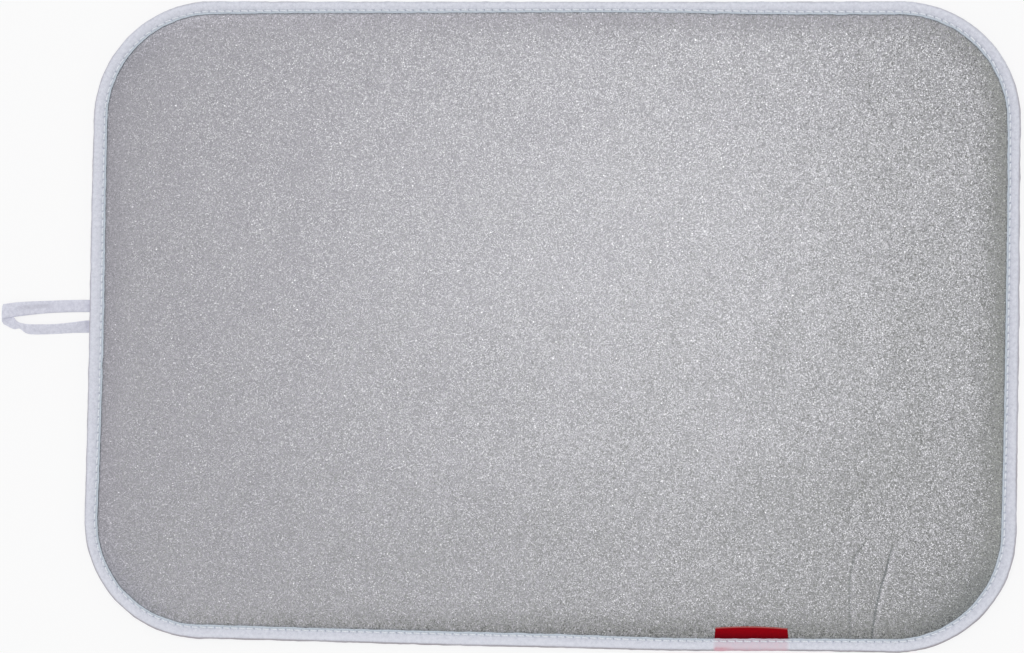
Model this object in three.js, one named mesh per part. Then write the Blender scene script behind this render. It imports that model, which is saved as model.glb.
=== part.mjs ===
// A flat padded ironing mat. A silver cover cloth, a felt pad, a foam pad and a backing cloth lie on each
// other, and a folded tape binds their edges with one lockstitched seam. The ends of a hang loop are caught
// under the seam on the left side, and a folded label under the seam on the front side.
// Millimetres: X runs along the pad, Y across it and Z up. The origin is the middle of the underside.

import * as THREE from 'three';

// Outline
const padLength = 580;
const padWidth = 402;
const cornerRadius = 75;
const leastRadius = 2;
const cornerSteps = 8;

// Layers, from the underside up, as thick as they are in the middle of the pad
const backingThickness = 0.5;
const foamThickness = 3;
const feltThickness = 3;
const coverThickness = 0.5;
const layerGap = 0.15;

// Swell of the filling: it is pressed thin under the binding and stands highest in the middle
const pressedFilling = 2.2;
const shoulderWidth = 22;
const undersideShoulder = 14;
const crownRise = 0.6;

// Binding tape, folded round the edge, and the thread of its seam
const bindingWidth = 8.5;
const bindingThickness = 0.8;
const bindingGap = 0.15;
const foldRadius = 1.8;
const foldSteps = 3;
const seamMargin = 1.7;
const threadDiameter = 0.4;
const threadClearance = 0.08;
const threadSides = 6;

// Hang loop: one length of narrow tape, folded back under itself at its far end
const tapeWidth = 7.8;
const tapeThickness = 0.8;
const tapeClearance = 0.3;
const loopPlace = 0.3;
const loopReach = 57.3;
const legSpacing = 13;
const caughtLength = 5;
const turnSteps = 4;

// Label: a woven strip, folded double, with its cut ends under the binding
const labelPlace = 129.3;
const labelWidth = 45;
const labelThickness = 0.6;
const labelReach = 6.8;
const labelBow = 1.2;
const labelClearance = 0.3;
const labelFoldGap = 0.5;
const labelTuck = 5;
const labelColumns = 6;
const labelRows = 3;

// The pad gives way to what is caught in its seam over this much room beside it
const giveMargin = 1.2;
const giveRamp = 8;

// Levels of the bound edge, which is held up by the loop lying under it
const edgeLift = tapeThickness + tapeClearance;
const lowerLeafTop = edgeLift + bindingThickness;
const stackBottom = lowerLeafTop + bindingGap;
const clothAndGaps = backingThickness + coverThickness + 3 * layerGap;
const stackTop = stackBottom + clothAndGaps + pressedFilling;
const upperLeafBottom = stackTop + bindingGap;
const edgeTop = upperLeafBottom + bindingThickness;
const padHeight = clothAndGaps + foamThickness + feltThickness;
const seamInset = bindingWidth - seamMargin;
const cutEdgeInset = foldRadius + bindingGap;

// Fold of a loop end round the inner edge of the lower leaf
const caughtLevel = stackBottom + tapeThickness / 2;
const looseLevel = tapeThickness / 2;
const rootFoldRadius = (caughtLevel - looseLevel) / 2;
const rootFoldInset = bindingWidth + tapeClearance;
const settleInset = rootFoldInset + rootFoldRadius + tapeThickness / 2 + tapeClearance;
const caughtLift = tapeThickness + bindingGap;
const labelLift = labelThickness + bindingGap;

const middleInset = padWidth / 2;
const shoulderInset = bindingWidth + shoulderWidth;
const shoulderShares = [0, 0.25, 0.5, 1];
const ringInsets = [cutEdgeInset, settleInset]
  .concat(shoulderShares.map((part) => bindingWidth + part * shoulderWidth))
  .sort((a, b) => a - b);

const share = (value, start, length) => Math.min(Math.max((value - start) / length, 0), 1);
const swell = (part) => 1 - (1 - part) ** 3;
const ease = (part) => part * part * (3 - 2 * part);

// A station is a place on the outline. It knows its point at any inset from the outer edge, and how far the
// pad gives way there to the loop ends below and to the label above.
function cornerStations(signX, signY, startAngle) {
  return Array.from({ length: cornerSteps + 1 }, (_, step) => {
    const angle = startAngle + (step / cornerSteps) * (Math.PI / 2);
    const at = (inset) => {
      const radius = Math.max(cornerRadius - inset, leastRadius);
      const x = signX * (padLength / 2 - inset - radius) + radius * Math.cos(angle);
      const y = signY * (padWidth / 2 - inset - radius) + radius * Math.sin(angle);
      return [x, y];
    };
    return { at, loop: 0, label: 0 };
  });
}

function sideOffsets(halfWidth) {
  const room = halfWidth + giveMargin;
  return [[-room - giveRamp, 0], [-room, 1], [room, 1], [room + giveRamp, 0]];
}

const frontStations = sideOffsets(labelWidth / 2).map(([offset, label]) => ({
  at: (inset) => [labelPlace + offset, -padWidth / 2 + inset],
  loop: 0,
  label,
}));

const leftStations = sideOffsets((legSpacing + tapeWidth) / 2).map(([offset, loop]) => ({
  at: (inset) => [-padLength / 2 + inset, loopPlace - offset],
  loop,
  label: 0,
}));

const stations = [
  ...frontStations,
  ...cornerStations(1, -1, -Math.PI / 2),
  ...cornerStations(1, 1, 0),
  ...cornerStations(-1, 1, Math.PI / 2),
  ...leftStations,
  ...cornerStations(-1, -1, Math.PI),
];

// Heights of the layers' faces at an inset from the outer edge
function undersideHeight(inset, station) {
  const settled = swell(share(inset, settleInset, undersideShoulder));
  return (stackBottom + caughtLift * station.loop) * (1 - settled);
}

function topHeight(inset) {
  const crown = crownRise * share(inset, shoulderInset, middleInset - shoulderInset);
  const risen = swell(share(inset, bindingWidth, shoulderWidth));
  return stackTop + (padHeight - crownRise - stackTop) * risen + crown;
}

const backingTop = (inset, station) => undersideHeight(inset, station) + backingThickness;
const coverBottom = (inset) => topHeight(inset) - coverThickness;
const foamBottom = (inset, station) => backingTop(inset, station) + layerGap;
const feltTop = (inset) => coverBottom(inset) - layerGap;

function foamTop(inset, station) {
  const bottom = foamBottom(inset, station);
  const filling = feltTop(inset) - bottom - layerGap;
  return bottom + (filling * foamThickness) / (foamThickness + feltThickness);
}

const feltBottom = (inset, station) => foamTop(inset, station) + layerGap;

// Height of the cover's flat facets between its rings
function coverFacetHeight(inset) {
  const next = ringInsets.findIndex((ring) => ring >= inset);
  const low = ringInsets[next - 1];
  const part = (inset - low) / (ringInsets[next] - low);
  return THREE.MathUtils.lerp(topHeight(low), topHeight(ringInsets[next]), part);
}

function solid(positions, triangles) {
  const geometry = new THREE.BufferGeometry();
  geometry.setAttribute('position', new THREE.Float32BufferAttribute(positions.flat(), 3));
  geometry.setIndex(triangles.flat());
  geometry.computeVertexNormals();
  return geometry;
}

// Skin of the rows of a section carried round all the stations. Both faces of a gap between two layers are
// split along the same diagonal, from the inner ring to the outer one, so the gap stays even.
function ringSkin(rows, closed) {
  const count = stations.length;
  const positions = rows.flatMap((row) => stations.map((station) => {
    const [x, y] = station.at(row.inset);
    return [x, y, row.height(station)];
  }));
  const triangles = [];
  const lastRow = closed ? rows.length : rows.length - 1;
  for (let i = 0; i < lastRow; i += 1) {
    const next = (i + 1) % rows.length;
    const inward = rows[next].inset > rows[i].inset;
    for (let j = 0; j < count; j += 1) {
      const k = (j + 1) % count;
      const a = i * count + j;
      const b = i * count + k;
      const c = next * count + k;
      const d = next * count + j;
      triangles.push(...(inward ? [[a, b, d], [b, c, d]] : [[a, b, c], [a, c, d]]));
    }
  }
  return { positions, triangles };
}

// A layer between two height functions, with a fan of facets to the middle on both faces
function layer(lowerHeight, upperHeight) {
  const row = (heightAt) => (inset) => ({ inset, height: (station) => heightAt(inset, station) });
  const rows = ringInsets.toReversed().map(row(lowerHeight)).concat(ringInsets.map(row(upperHeight)));
  const { positions, triangles } = ringSkin(rows, false);
  const count = stations.length;
  const bottom = positions.length;
  const top = bottom + 1;
  const innerTop = (rows.length - 1) * count;
  positions.push([0, 0, lowerHeight(middleInset, stations[0])]);
  positions.push([0, 0, upperHeight(middleInset, stations[0])]);
  for (let j = 0; j < count; j += 1) {
    const k = (j + 1) % count;
    triangles.push([bottom, k, j], [top, innerTop + j, innerTop + k]);
  }
  return solid(positions, triangles);
}

// A closed section carried round the edge. The points of its upper half rise over the label.
function edgeSweep(section) {
  const edgeMiddle = (edgeLift + edgeTop) / 2;
  const rows = section.map(([inset, level]) => {
    const lift = level > edgeMiddle ? labelLift : 0;
    return { inset, height: (station) => level + lift * station.label };
  });
  const { positions, triangles } = ringSkin(rows, true);
  return solid(positions, triangles);
}

// Points of a quarter round in the section, by inset and level
function quarterRound(inset, level, radius, startAngle, turn) {
  return Array.from({ length: foldSteps + 1 }, (_, step) => {
    const angle = startAngle + (turn * step * Math.PI) / (2 * foldSteps);
    return [inset + radius * Math.cos(angle), level + radius * Math.sin(angle)];
  });
}

// Folded tape with a groove along each leaf, where the seam draws it in
function bindingSection() {
  const halfGroove = threadDiameter / 2 + threadClearance;
  const grooveDepth = threadDiameter + threadClearance;
  const near = seamInset + halfGroove;
  const far = seamInset - halfGroove;
  const innerRadius = foldRadius - bindingThickness;
  const lowerFold = edgeLift + foldRadius;
  const upperFold = edgeTop - foldRadius;
  return [
    [bindingWidth, edgeLift],
    [near, edgeLift],
    [near, edgeLift + grooveDepth],
    [far, edgeLift + grooveDepth],
    [far, edgeLift],
    ...quarterRound(foldRadius, lowerFold, foldRadius, -Math.PI / 2, -1),
    ...quarterRound(foldRadius, upperFold, foldRadius, Math.PI, -1),
    [far, edgeTop],
    [far, edgeTop - grooveDepth],
    [near, edgeTop - grooveDepth],
    [near, edgeTop],
    [bindingWidth, edgeTop],
    [bindingWidth, upperLeafBottom],
    ...quarterRound(foldRadius, upperFold, innerRadius, Math.PI / 2, 1),
    ...quarterRound(foldRadius, lowerFold, innerRadius, Math.PI, 1),
    [bindingWidth, lowerLeafTop],
  ];
}

function threadSection(level) {
  return Array.from({ length: threadSides }, (_, side) => {
    const angle = (-2 * Math.PI * side) / threadSides;
    const radius = threadDiameter / 2;
    return [seamInset + radius * Math.cos(angle), level + radius * Math.sin(angle)];
  });
}

// A flat tape along its stations, each with a centre and the direction across the tape. Its direction there
// is that of its neighbours, unless the station gives its own.
function tape(tapeStations) {
  const positions = tapeStations.flatMap(({ centre, across, along }, index) => {
    const before = tapeStations[Math.max(index - 1, 0)].centre;
    const after = tapeStations[Math.min(index + 1, tapeStations.length - 1)].centre;
    const heading = along ?? after.clone().sub(before);
    heading.addScaledVector(across, -heading.dot(across)).normalize();
    const up = across.clone().cross(heading);
    return [[-1, -1], [1, -1], [1, 1], [-1, 1]].map(([acrossSign, upSign]) => centre.clone()
      .addScaledVector(across, (acrossSign * tapeWidth) / 2)
      .addScaledVector(up, (upSign * tapeThickness) / 2)
      .toArray());
  });
  const triangles = [[0, 1, 2], [0, 2, 3]];
  for (let index = 0; index < tapeStations.length - 1; index += 1) {
    for (let side = 0; side < 4; side += 1) {
      const a = index * 4 + side;
      const b = index * 4 + ((side + 1) % 4);
      triangles.push([a, a + 4, b + 4], [a, b + 4, b]);
    }
  }
  const end = positions.length - 4;
  triangles.push([end, end + 2, end + 1], [end, end + 3, end + 2]);
  return solid(positions, triangles);
}

// A place of the loop: distance out from the pad's edge, across from the loop's middle, height, roll
function loopStation(out, across, height, roll = 0) {
  return {
    centre: new THREE.Vector3(-padLength / 2 - out, loopPlace + across, height),
    across: new THREE.Vector3(0, Math.cos(roll), Math.sin(roll)),
  };
}

// Half a turn of the tape in an upright plane, from its upper run to its lower one. It bulges out of the pad
// where bulge is 1, and into it where bulge is -1.
function halfTurn(out, lower, upper, bulge, acrossAt) {
  const radius = (upper - lower) / 2;
  return Array.from({ length: turnSteps + 1 }, (_, step) => {
    const part = step / turnSteps;
    const sine = Math.sin(Math.PI * part);
    const cosine = Math.cos(Math.PI * part);
    const place = loopStation(out + bulge * radius * sine, acrossAt(part), lower + radius * (1 + cosine));
    return { ...place, along: new THREE.Vector3(-bulge * cosine, 0, -sine) };
  });
}

// A loop end runs in under the seam, turns round the leaf's inner edge and comes out below it
function caughtEnd(across) {
  const cut = loopStation(caughtLength - bindingWidth, across, caughtLevel);
  return tape([cut, ...halfTurn(-rootFoldInset, looseLevel, caughtLevel, -1, () => across)]);
}

// The upper leg drifts towards the loop's middle and rises over the folded end of the lower leg. The lower
// leg comes back slanting, leans on its outer edge and lies flat again where it goes in under the pad.
// Its places are a share of the reach, a drift from its root and a roll in degrees.
const upperLegShares = [0, 0.2, 0.4, 0.5, 0.6, 0.7, 0.8];
const upperLegDrift = 4;
const upperLegRise = [0.45, 0.35];
const lowerLegPlaces = [
  [0.87, 2.6, 0],
  [0.79, 0.2, 34],
  [0.68, -2.2, 38],
  [0.42, -2.05, 40],
  [0.2, -1, 34],
  [0.08, -0.3, 18],
  [0, 0, 0],
];
const lowerLegStart = 5.4;

function hangLoop() {
  const crossing = tapeThickness + tapeClearance;
  const upperLevel = looseLevel + crossing;
  const farTurn = loopReach - crossing / 2 - tapeThickness / 2;
  const upperAcross = (part) => legSpacing / 2 - upperLegDrift * part * part;
  const lowerAcross = (drift) => drift - legSpacing / 2;
  const upperLeg = upperLegShares.map((part) => {
    const height = looseLevel + crossing * ease(share(part, ...upperLegRise));
    return loopStation(part * loopReach, upperAcross(part), height);
  });
  const farAcross = (part) => THREE.MathUtils.lerp(upperAcross(1), lowerAcross(lowerLegStart), part);
  const lowerLeg = lowerLegPlaces.map(([part, drift, degrees]) => {
    const roll = THREE.MathUtils.degToRad(degrees);
    const height = (tapeWidth / 2) * Math.sin(roll) + (tapeThickness / 2) * Math.cos(roll);
    return loopStation(part * loopReach, lowerAcross(drift), height, roll);
  });
  return tape([
    loopStation(-bindingWidth, upperAcross(0), looseLevel),
    ...upperLeg,
    ...halfTurn(farTurn, looseLevel, upperLevel, 1, farAcross),
    ...lowerLeg,
    loopStation(-bindingWidth, lowerAcross(0), looseLevel),
  ]);
}

// The part of the label that lies free on the cover's shoulder, with its folded edge bowed
function labelFlap() {
  const root = bindingWidth + labelFoldGap;
  const columns = labelColumns + 1;
  const faces = [labelClearance, labelClearance + labelThickness];
  const positions = faces.flatMap((lift) => Array.from({ length: labelRows + 1 }, (_, row) => row)
    .flatMap((row) => Array.from({ length: columns }, (_, column) => {
      const across = (2 * column) / labelColumns - 1;
      const reach = bindingWidth + labelReach - labelBow * across * across;
      const inset = THREE.MathUtils.lerp(root, reach, row / labelRows);
      const x = labelPlace + (across * labelWidth) / 2;
      return [x, -padWidth / 2 + inset, coverFacetHeight(inset) + lift];
    })));
  const upper = (labelRows + 1) * columns;
  const triangles = [];
  const quad = (a, b, c, d) => triangles.push([a, b, c], [a, c, d]);
  for (let row = 0; row < labelRows; row += 1) {
    const start = row * columns;
    for (let column = 0; column < labelColumns; column += 1) {
      const a = start + column;
      quad(a, a + columns, a + columns + 1, a + 1);
      quad(upper + a, upper + a + 1, upper + a + columns + 1, upper + a + columns);
    }
    const end = start + labelColumns;
    quad(start, upper + start, upper + start + columns, start + columns);
    quad(end, end + columns, upper + end + columns, upper + end);
  }
  const tip = labelRows * columns;
  for (let column = 0; column < labelColumns; column += 1) {
    quad(column, column + 1, upper + column + 1, upper + column);
    quad(tip + column, upper + tip + column, upper + tip + column + 1, tip + column + 1);
  }
  return solid(positions, triangles);
}

const pad = new THREE.Group();

function addPiece(name, geometry, colour, roughness, metalness = 0) {
  const material = new THREE.MeshStandardMaterial({ color: colour, roughness, metalness });
  const mesh = new THREE.Mesh(geometry, material);
  mesh.name = name;
  pad.add(mesh);
  return mesh;
}

const silver = '#b4b4b8';
const tapeWhite = '#dcdde6';
const threadWhite = '#d2d6de';
const labelRed = '#96101c';

addPiece('backing_cloth', layer(undersideHeight, backingTop), '#c9c8c4', 0.95);
addPiece('foam_pad', layer(foamBottom, foamTop), '#e4dfce', 0.95);
addPiece('felt_pad', layer(feltBottom, feltTop), '#e8e6e0', 0.95);
addPiece('cover_cloth', layer(coverBottom, topHeight), silver, 0.5, 0.4);
addPiece('edge_binding', edgeSweep(bindingSection()), tapeWhite, 0.9);
addPiece('needle_thread', edgeSweep(threadSection(edgeTop - threadDiameter / 2)), threadWhite, 0.8);
addPiece('bobbin_thread', edgeSweep(threadSection(edgeLift + threadDiameter / 2)), threadWhite, 0.8);

addPiece('hang_loop', hangLoop(), tapeWhite, 0.9);
addPiece('hang_loop_back_end', caughtEnd(legSpacing / 2), tapeWhite, 0.9);
addPiece('hang_loop_front_end', caughtEnd(-legSpacing / 2), tapeWhite, 0.9);

const rootShape = new THREE.BoxGeometry(labelWidth, labelTuck, labelThickness);
const labelRoot = addPiece('label_root', rootShape, labelRed, 0.8);
const labelRootLevel = stackTop + bindingGap + labelThickness / 2;
labelRoot.position.set(labelPlace, -padWidth / 2 + bindingWidth - labelTuck / 2, labelRootLevel);
addPiece('label_flap', labelFlap(), labelRed, 0.8);

export default pad;
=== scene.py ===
import math
import bpy
import numpy as np
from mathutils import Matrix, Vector
from mathutils.geometry import delaunay_2d_cdt


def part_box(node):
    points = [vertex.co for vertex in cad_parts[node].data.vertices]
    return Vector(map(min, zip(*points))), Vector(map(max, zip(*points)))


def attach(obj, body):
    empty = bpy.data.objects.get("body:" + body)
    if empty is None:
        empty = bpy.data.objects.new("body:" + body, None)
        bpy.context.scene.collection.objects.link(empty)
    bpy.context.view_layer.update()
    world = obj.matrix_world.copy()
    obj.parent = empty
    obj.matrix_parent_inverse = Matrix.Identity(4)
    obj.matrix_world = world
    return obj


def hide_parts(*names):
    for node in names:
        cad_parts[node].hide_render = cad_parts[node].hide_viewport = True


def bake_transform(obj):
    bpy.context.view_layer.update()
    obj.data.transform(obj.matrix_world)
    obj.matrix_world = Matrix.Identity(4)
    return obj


# A padded ironing mat, seen from straight above. Sizes in the dictionaries are millimetres unless a note
# says otherwise, and become metres when a mesh is made.
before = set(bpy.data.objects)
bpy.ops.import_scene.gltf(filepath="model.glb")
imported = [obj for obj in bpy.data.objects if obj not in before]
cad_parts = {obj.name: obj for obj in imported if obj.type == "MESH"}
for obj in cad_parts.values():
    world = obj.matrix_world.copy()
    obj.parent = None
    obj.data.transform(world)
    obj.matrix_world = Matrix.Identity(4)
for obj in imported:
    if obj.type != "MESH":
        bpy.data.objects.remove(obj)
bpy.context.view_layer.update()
mm = 0.001
print("frame loaded:", len(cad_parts), "CAD nodes")

# Camera: high above the pad, a little to the front and right of its middle
photoCamera = {
    "place": (183.0, -103.5, 1982.2),
    "turn": (2.981, 5.86, 0.952),  # degrees
    "lens": 112.5,
    "sensor": 36.0,
}


def makeCamera(settings):
    data = bpy.data.cameras.new("photo_camera")
    data.lens = settings["lens"]
    data.sensor_width = settings["sensor"]
    camera = bpy.data.objects.new("photo_camera", data)
    camera.location = Vector(settings["place"]) * mm
    camera.rotation_euler = [math.radians(angle) for angle in settings["turn"]]
    bpy.context.scene.collection.objects.link(camera)
    bpy.context.scene.camera = camera


makeCamera(photoCamera)
print("camera placed")

# Pad: outline, layers from the underside up, and how the filling swells between the bound edges
pad = {
    "cornerRadius": 75.0,
    "bindingWidth": 8.5,
    "bindingThickness": 0.8,
    "seamMargin": 1.7,  # from the binding's inner edge to its seam
    "stitch": 5.0,  # about, since a whole number of them goes round
    "cutEdge": 1.95,  # inset of the layers' cut edges inside the fold
    "layerGap": 0.15,
    "backing": 0.5,
    "foam": 3.0,
    "felt": 3.0,
    "cover": 0.5,
    "shoulderWidth": 22.0,
    "shoulderTuck": 0.4,  # how far under the binding the shoulder starts
    "undersideShoulder": 14.0,
    "settleInset": 10.5,
    "crownRise": 0.6,
    "labelLift": 0.75,
    "loopLift": 0.95,
    "giveMargin": 1.2,
    "giveRamp": 8.0,
    "bows": (0.1, 0.4, 1.0, 1.0, 1.2, -0.2, -0.4, 0.0, 0.3, 0.7, 0.4, 0.6, -0.3, -0.6, -0.8, -0.8,
             -0.8, -0.8, -0.6, -0.1, 0.2, -0.2, -0.2, 0.2),  # the edge strays out, at even steps round it
    "bowInset": 14.0,  # from here the straying fades
    "bowFade": 90.0,
}

bindingLow, bindingHigh = (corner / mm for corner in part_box("edge_binding"))
_, coverHigh = (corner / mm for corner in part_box("cover_cloth"))
labelLow, labelHigh = (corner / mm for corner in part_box("label_flap"))
loopLow, _ = (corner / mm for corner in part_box("hang_loop"))
backEndLow, backEndHigh = (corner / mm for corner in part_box("hang_loop_back_end"))
frontEndLow, frontEndHigh = (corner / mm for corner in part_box("hang_loop_front_end"))

padLength = bindingHigh.x - bindingLow.x
padWidth = bindingHigh.y - bindingLow.y
padHeight = coverHigh.z
edgeLift = bindingLow.z
edgeTop = bindingHigh.z - pad["labelLift"]
edgeMiddle = (edgeLift + edgeTop) / 2
lowerLeafTop = edgeLift + pad["bindingThickness"]
upperLeafBottom = edgeTop - pad["bindingThickness"]
stackBottom = lowerLeafTop + pad["layerGap"]
stackTop = upperLeafBottom - pad["layerGap"]
seamInset = pad["bindingWidth"] - pad["seamMargin"]
seamRadius = pad["cornerRadius"] - seamInset
labelMiddle = (labelLow.x + labelHigh.x) / 2
labelHalf = (labelHigh.x - labelLow.x) / 2
loopMiddle = (backEndHigh.y + frontEndLow.y) / 2
loopHalf = (backEndHigh.y - frontEndLow.y) / 2

# The seam runs round four sides and corners, counterclockwise from the front left corner
cornerCentres = [
    np.array([signX * (padLength / 2 - pad["cornerRadius"]), signY * (padWidth / 2 - pad["cornerRadius"])])
    for signX, signY in ((-1, -1), (1, -1), (1, 1), (-1, 1))
]
sideRuns = [np.linalg.norm(cornerCentres[(side + 1) % 4] - cornerCentres[side]) for side in range(4)]
cornerRun = seamRadius * math.pi / 2
seamLength = sum(sideRuns) + 4 * cornerRun
sideStarts = [sum(sideRuns[:side]) + side * cornerRun for side in range(4)]
stitchCount = round(seamLength / pad["stitch"])
stitchLength = seamLength / stitchCount


def share(value, start, length):
    return np.clip((value - start) / length, 0, 1)


def swell(part):
    return 1 - (1 - part) ** 3


def ease(part):
    return part * part * (3 - 2 * part)


def sideDirections(side):
    angle = side * math.pi / 2
    run = np.array([math.cos(angle), math.sin(angle)])
    return run, np.array([run[1], -run[0]])


def seamPoints(along):
    # Points on the seam and the outward direction there
    along = np.mod(along, seamLength)
    points = np.zeros((len(along), 2))
    outward = np.zeros((len(along), 2))
    for side in range(4):
        run, out = sideDirections(side)
        reach = along - sideStarts[side]
        onSide = (reach >= 0) & (reach < sideRuns[side])
        points[onSide] = cornerCentres[side] + out * seamRadius + reach[onSide, None] * run
        outward[onSide] = out
        turned = reach - sideRuns[side]
        onCorner = (turned >= 0) & (turned < cornerRun)
        angle = turned[onCorner, None] / seamRadius
        outward[onCorner] = np.cos(angle) * out + np.sin(angle) * run
        points[onCorner] = cornerCentres[(side + 1) % 4] + seamRadius * outward[onCorner]
    return points, outward


def seamPlaces(x, y):
    # The other way: inset from the outer edge, and distance along the seam, of points on the pad
    overX = np.abs(x) - (padLength / 2 - pad["cornerRadius"])
    overY = np.abs(y) - (padWidth / 2 - pad["cornerRadius"])
    inset = pad["cornerRadius"] - np.maximum(overX, overY)
    inCorner = (overX > 0) & (overY > 0)
    inset[inCorner] = pad["cornerRadius"] - np.hypot(overX[inCorner], overY[inCorner])
    along = np.zeros(len(x))
    lengthwise = overY >= overX
    ownSides = (lengthwise & (y < 0), ~lengthwise & (x > 0), lengthwise & (y >= 0), ~lengthwise & (x <= 0))
    ownCorners = ((x > 0) & (y < 0), (x > 0) & (y >= 0), (x <= 0) & (y >= 0), (x <= 0) & (y < 0))
    for side in range(4):
        run, out = sideDirections(side)
        reach = (x - cornerCentres[side][0]) * run[0] + (y - cornerCentres[side][1]) * run[1]
        here = ownSides[side] & ~inCorner
        along[here] = sideStarts[side] + np.clip(reach[here], 0, sideRuns[side])
        centre = cornerCentres[(side + 1) % 4]
        here = ownCorners[side] & inCorner
        awayRun = (x[here] - centre[0]) * run[0] + (y[here] - centre[1]) * run[1]
        awayOut = (x[here] - centre[0]) * out[0] + (y[here] - centre[1]) * out[1]
        along[here] = sideStarts[side] + sideRuns[side] + np.arctan2(awayRun, awayOut) * seamRadius
    return inset, along


def between(before, start, end, after, part):
    # Smooth step from start to end that also follows the values either side
    return 0.5 * (2 * start + (end - before) * part + (2 * before - 5 * start + 4 * end - after) * part ** 2
                  + (3 * start - before - 3 * end + after) * part ** 3)


def roundEdge(values, along):
    # Smooth run round the whole seam through values at even steps
    values = np.array(values)
    reach = np.mod(along, seamLength) / seamLength * len(values)
    at = np.floor(reach).astype(int)
    before, start, end, after = (values[(at + step) % len(values)] for step in (-1, 0, 1, 2))
    return between(before, start, end, after, reach - at)


def stray(points):
    # The pieces as they really lie: their edges stray from the pattern, their middles do not
    points = np.array(points, float)
    inset, along = seamPlaces(points[:, 0], points[:, 1])
    _, outward = seamPoints(along)
    reach = roundEdge(pad["bows"], along) * ease(1 - share(inset, pad["bowInset"], pad["bowFade"]))
    points[:, :2] += outward * reach[:, None]
    return points


def nearby(distance, half):
    # 1 beside what is caught in the seam, falling softly to 0
    return 1 - ease(share(np.abs(distance), half + pad["giveMargin"], pad["giveRamp"]))


def waves(x, y, height, size, seed, count=16):
    # Irregular smooth waves of about that height and size over the pad
    pick = np.random.RandomState(seed)
    total = np.zeros(np.shape(x))
    for turn, stretch, phase in pick.uniform(0, 1, (count, 3)):
        pitch = size * (0.7 + 0.8 * stretch)
        reach = x * math.cos(turn * math.tau) + y * math.sin(turn * math.tau)
        total = total + np.sin((reach / pitch + phase) * math.tau)
    return height * (total / math.sqrt(count))


def seamWaves(along, height, size, seed, count=12):
    # The same along the seam, meeting where its ends do
    pick = np.random.RandomState(seed)
    total = np.zeros(np.shape(along))
    for stretch, phase in pick.uniform(0, 1, (count, 2)):
        turns = round(seamLength / (size * (0.6 + 1.0 * stretch)))
        total = total + np.sin((along / seamLength * turns + phase) * math.tau)
    return height * (total / math.sqrt(count))


def stitchPhase(along):
    # 1 at a needle hole, -1 halfway between two
    return np.cos(along / stitchLength * math.tau)


def fromHole(along):
    # Distance to the nearest needle hole
    return np.abs(np.mod(along / stitchLength + 0.5, 1) - 0.5) * stitchLength


def unit(vectors):
    return vectors / np.linalg.norm(vectors, axis=-1)[..., None]


def gridFaces(rows, columns, closedRows=False, closedColumns=False, flipped=False, first=0):
    # Quads over points kept row by row, which may close on themselves either way
    row, column = np.meshgrid(np.arange(rows - (not closedRows)), np.arange(columns - (not closedColumns)),
                              indexing="ij")
    nextRow = (row + 1) % rows
    nextColumn = (column + 1) % columns
    corners = [(row, column), (row, nextColumn), (nextRow, nextColumn), (nextRow, column)]
    if flipped:
        corners = corners[:1] + corners[:0:-1]
    quads = np.stack([first + at * columns + across for at, across in corners], axis=-1)
    return quads.reshape(-1, 4).tolist()


def addPiece(name, points, faces, material, marks=None):
    # Marks are numbers kept at the points, for a material to read
    mesh = bpy.data.meshes.new(name)
    mesh.from_pydata((np.asarray(points) * mm).tolist(), [], [tuple(face) for face in faces])
    mesh.materials.append(material)
    mesh.shade_smooth()
    for mark, values in (marks or {}).items():
        kept = mesh.attributes.new(mark, "FLOAT", "POINT")
        kept.data.foreach_set("value", np.asarray(values, np.float32))
    piece = bpy.data.objects.new(name, mesh)
    bpy.context.scene.collection.objects.link(piece)
    print("made", name, "with", len(mesh.polygons), "faces")
    return piece


# Materials
def toLinear(hexColour):
    parts = [int(hexColour[start:start + 2], 16) / 255 for start in (1, 3, 5)]
    return [part / 12.92 if part <= 0.04045 else ((part + 0.055) / 1.055) ** 2.4 for part in parts] + [1.0]


def perMetre(size):
    # Scale of a pattern that repeats every so many millimetres
    return 1 / (size * mm)


def waveScale(size):
    # The same for a wave texture, which has 20 radians in its unit
    return perMetre(size) * math.tau / 20


def setSockets(tree, node, values):
    # A value is a socket to link, a node whose first output is meant, a hex colour or a constant
    for name, value in values.items():
        if isinstance(value, bpy.types.Node):
            value = next(output for output in value.outputs if output.enabled)
        if isinstance(value, bpy.types.NodeSocket):
            tree.links.new(value, node.inputs[name])
        else:
            node.inputs[name].default_value = toLinear(value) if isinstance(value, str) else value


def addNode(tree, kind, values=None, **settings):
    node = tree.nodes.new("ShaderNode" + kind)
    for name, value in settings.items():
        setattr(node, name, value)
    setSockets(tree, node, values or {})
    return node


def startMaterial(name, constants):
    material = bpy.data.materials.new(name)
    material.use_nodes = True
    tree = material.node_tree
    shader = tree.nodes["Principled BSDF"]
    setSockets(tree, shader, constants)
    place = addNode(tree, "TexCoord").outputs["Object"]
    return material, tree, shader, place


def layColours(tree, base, settings, layers):
    # Colours of the settings laid over the base in turn, each as strongly as its factor says
    for key, factor in layers:
        base = addNode(tree, "Mix", {"Factor": factor, "A": base, "B": settings[key]},
                       data_type="RGBA")
    return base


def yarnBands(tree, place, size, values):
    # Bands that repeat every so many millimetres, along and across
    return [
        addNode(tree, "TexWave", {"Vector": place, "Scale": waveScale(size), **values},
                bands_direction=way).outputs["Fac"]
        for way in ("X", "Y")
    ]


def dressPlain(tree, shader, settings, level, height, strength):
    # Dark to light by level, and relief from height
    relief = addNode(tree, "Bump",
                     {"Height": height, "Strength": strength, "Distance": settings["depth"] * mm})
    colour = addNode(tree, "Mix", {"Factor": level, "A": settings["dark"], "B": settings["light"]},
                     data_type="RGBA")
    setSockets(tree, shader, {"Base Color": colour, "Normal": relief})


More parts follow.
